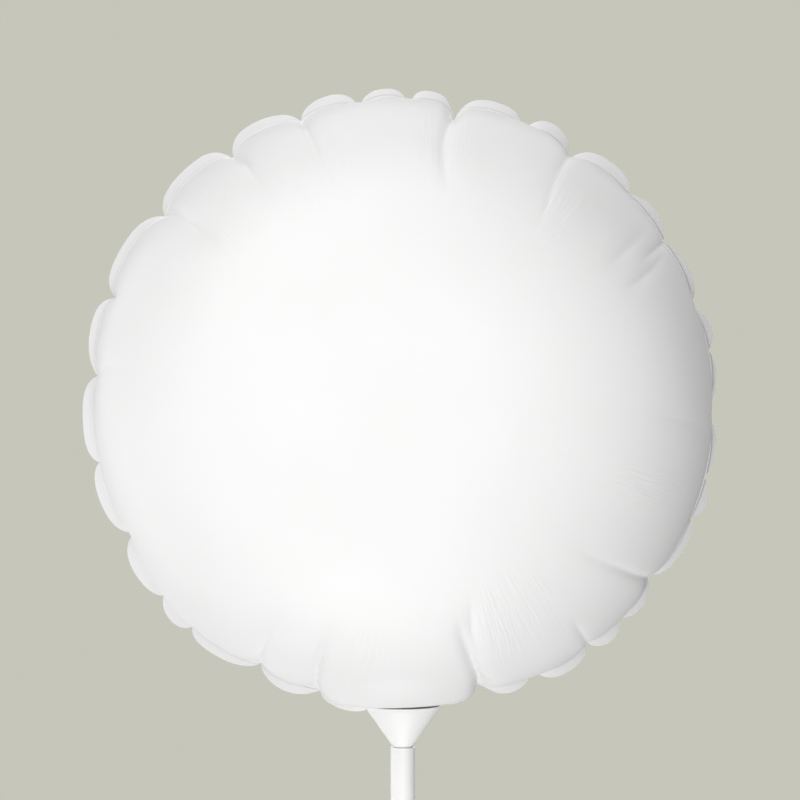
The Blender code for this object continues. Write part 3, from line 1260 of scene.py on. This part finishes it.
@dataclass(frozen=True)
class SoftPanel:
    """A large soft lamp round the balloon. Its strength is the brightness it gives a white card facing it."""

    name: str
    azimuth: float
    elevation: float
    strength: float
    size: float = 0.9
    distance: float = 1.3

    def hang(self, target: Vector) -> bpy.types.Object:
        """Hang the lamp so that it faces the target.

        Args:
            target: the point that it lights.

        Returns:
            The lamp.
        """
        lamp = bpy.data.lights.new(self.name, "AREA")
        lamp.shape = "DISK"
        lamp.size = self.size
        lamp.energy = self.strength * math.pi**2 * self.distance**2
        holder = bpy.data.objects.new(self.name, lamp)
        bpy.context.scene.collection.objects.link(holder)
        towards = direction(self.azimuth, self.elevation)
        holder.location = target + towards * self.distance
        holder.rotation_mode = "QUATERNION"
        holder.rotation_quaternion = (-towards).to_track_quat("-Z", "Y")
        holder.visible_camera = False
        return holder


@dataclass
class Studio:
    """The camera, the soft lamps, the pale surroundings and the floor."""

    azimuth: float = -4.0
    elevation: float = 1.0
    distance: float = 0.750
    target_mm: tuple[float, float, float] = (-0.7, 0.0, 384.9)
    lens_mm: float = 137.4
    sensor_mm: float = 36.0
    surroundings: str = "C6C6BB"
    ambient: float = 0.225
    floor_radius: float = 0.55
    floor_thickness: float = 0.012
    floor_edge: float = 0.003
    floor_sides: int = 160
    floor_sharp_degrees: float = 40.0
    panels: tuple[SoftPanel, ...] = (
        SoftPanel("top_panel", 0, 60, 0.258),
        SoftPanel("back_top_panel", 180, 60, 0.103),
        SoftPanel("key_panel", -40, 35, 0.334),
        SoftPanel("right_back_high_panel", 140, 35, 0.081),
        SoftPanel("front_panel", 5, 8, 0.258),
        SoftPanel("left_back_panel", -125, 8, 0.174),
        SoftPanel("right_back_panel", 138, 8, 0.053),
        SoftPanel("left_low_panel", -110, -20, 0.178),
        SoftPanel("left_back_low_panel", -150, -20, 0.080),
        SoftPanel("front_under_panel", -10, -48, 0.454),
        SoftPanel("back_under_panel", 180, -48, 0.089),
        SoftPanel("back_panel", 180, 5, 0.30),
        SoftPanel("under_panel", 0, -75, 0.163),
    )

    def build(self) -> None:
        """Set up the whole studio."""
        self.place_camera()
        self.light_world()
        target = Vector(self.target_mm) * MM
        for panel in self.panels:
            panel.hang(target)
        self.lay_floor()

    def place_camera(self) -> None:
        """Put the camera at the photograph's viewing angle."""
        lens = bpy.data.cameras.new("studio_camera")
        lens.lens = self.lens_mm
        lens.sensor_width = self.sensor_mm
        lens.clip_start = 0.01
        camera = bpy.data.objects.new("studio_camera", lens)
        bpy.context.scene.collection.objects.link(camera)
        towards = direction(self.azimuth, self.elevation)
        camera.location = Vector(self.target_mm) * MM + towards * self.distance
        camera.rotation_mode = "QUATERNION"
        camera.rotation_quaternion = (-towards).to_track_quat("-Z", "Y")
        bpy.context.scene.camera = camera

    def light_world(self) -> None:
        """Surround the scene with an even pale wall and an even white light."""
        scene = bpy.context.scene
        scene.view_settings.view_transform = "Standard"
        world = bpy.data.worlds.new("pale_studio")
        world.use_nodes = True
        tree = world.node_tree
        tree.nodes.clear()
        wall = add_node(tree, "Background", {"Color": linear(self.surroundings), "Strength": 1.0})
        white = add_node(tree, "Background", {"Color": (1.0, 1.0, 1.0, 1.0), "Strength": self.ambient})
        path = add_node(tree, "LightPath")
        seen = add_node(
            tree, "MixShader", links={0: path.outputs["Is Camera Ray"], 1: white, 2: wall}
        )
        add_node(tree, "OutputWorld", links={"Surface": seen})
        scene.world = world

    def lay_floor(self) -> None:
        """Lay the round pale board that the stick's foot stands on, outside the photograph's frame."""
        builder = bmesh.new()
        bmesh.ops.create_circle(
            builder, cap_ends=True, cap_tris=False, segments=self.floor_sides, radius=self.floor_radius
        )
        lifted = bmesh.ops.extrude_face_region(builder, geom=builder.faces[:])
        sunk = [v for v in lifted["geom"] if isinstance(v, bmesh.types.BMVert)]
        bmesh.ops.translate(builder, verts=sunk, vec=(0.0, 0.0, -self.floor_thickness))
        edges = [e for e in builder.edges if all(v.co.z > -0.5 * self.floor_thickness for v in e.verts)]
        bmesh.ops.bevel(
            builder,
            geom=edges,
            offset=self.floor_edge,
            offset_type="OFFSET",
            segments=4,
            profile=0.5,
            affect="EDGES",
            material=-1,
        )
        bmesh.ops.recalc_face_normals(builder, faces=builder.faces)
        board = PaintedBoard().material()
        floor = finished_piece("studio_floor", builder, board, self.floor_sharp_degrees)
        # The low panels stand beside and under the board, so it must not hold back their light
        floor.visible_shadow = False
        floor.visible_diffuse = False
        floor.visible_glossy = False


def main() -> None:
    """Build the balloon, the cup, the stick and the studio, in that order."""
    logging.basicConfig(level=logging.INFO, format="%(name)s: %(message)s")
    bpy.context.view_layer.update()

    envelope = Envelope()
    skin = envelope.build(CoatedFilm())
    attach(skin, Body.HEAD.value)
    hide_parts("front_film", "back_film")
    log.info("%s: %d faces", skin.name, len(skin.data.polygons))

    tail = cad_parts["filling_tail"]
    tail.data.materials.clear()
    tail.data.materials.append(skin.data.materials[0])
    log.info("%s: kept from the frame", tail.name)

    cup = FunnelCup().build(MouldedPolypropylene())
    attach(cup, Body.HEAD.value)
    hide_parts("cup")
    log.info("%s: %d faces", cup.name, len(cup.data.polygons))

    stick = HollowStick().build(ExtrudedTube())
    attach(stick, Body.STICK.value)
    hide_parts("stick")
    log.info("%s: %d faces", stick.name, len(stick.data.polygons))

    Studio().build()


if __name__ == "__main__":
    main()
